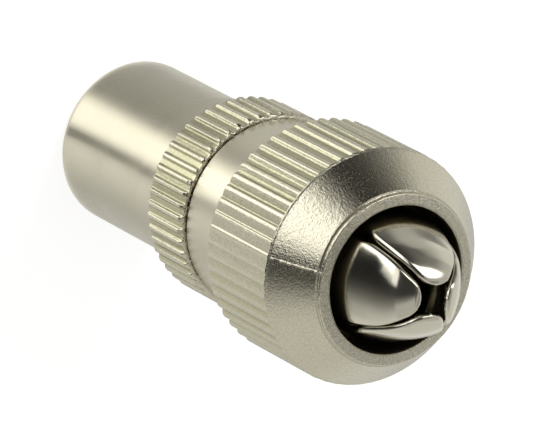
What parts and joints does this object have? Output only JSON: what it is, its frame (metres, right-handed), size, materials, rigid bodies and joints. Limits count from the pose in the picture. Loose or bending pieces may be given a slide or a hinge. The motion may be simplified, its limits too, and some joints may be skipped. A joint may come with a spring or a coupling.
{
  "type": "coaxial plug",
  "caption": "Screw-type metal coaxial aerial plug: round contact sleeve with centre pin, ribbed ring, ridged cap nut with a cone end, and bent claws around the cable entry.",
  "frame": {"origin": "centre of the contact sleeve's open end, on the plane that the plug stands on", "axes": "+Z along the plug's axis from the mating end to the cable entry; +X and +Y each through the middle of a claw"},
  "size_m": [0.0136, 0.0136, 0.0321],
  "materials": {
    "shell_nickel": "satin nickel plate on a casting, turned bright on the contact sleeve",
    "nut_nickel": "satin nickel plate on a casting with a fine grain",
    "clamp_nickel": "bright nickel plate on pressed sheet",
    "insulator_plastic": "natural moulded plastic",
    "pin_metal": "bright nickel plate on turned brass",
    "screw_steel": "plated steel"
  },
  "bodies": {
    "shell": {"shell": "shell_nickel", "insulator": "insulator_plastic", "centre_pin": "pin_metal", "terminal_screw": "screw_steel"},
    "clamp": {"cable_clamp": "clamp_nickel"},
    "nut": {"cap_nut": "nut_nickel"}
  },
  "joints": [
    {"name": "clamp_slide", "type": "slide", "parent": "shell", "child": "clamp", "axis": [0, 0, 1], "range_m": [0, 0.005]},
    {"name": "nut_turn", "type": "hinge", "parent": "clamp", "child": "nut", "pos_m": [0, 0, 0.02], "axis": [0, 0, 1], "range_deg": [0, 2390]}
  ],
  "couplings": [
    {"joint": "clamp_slide", "follows": "nut_turn", "m_per_rad": 0.00011937}
  ]
}
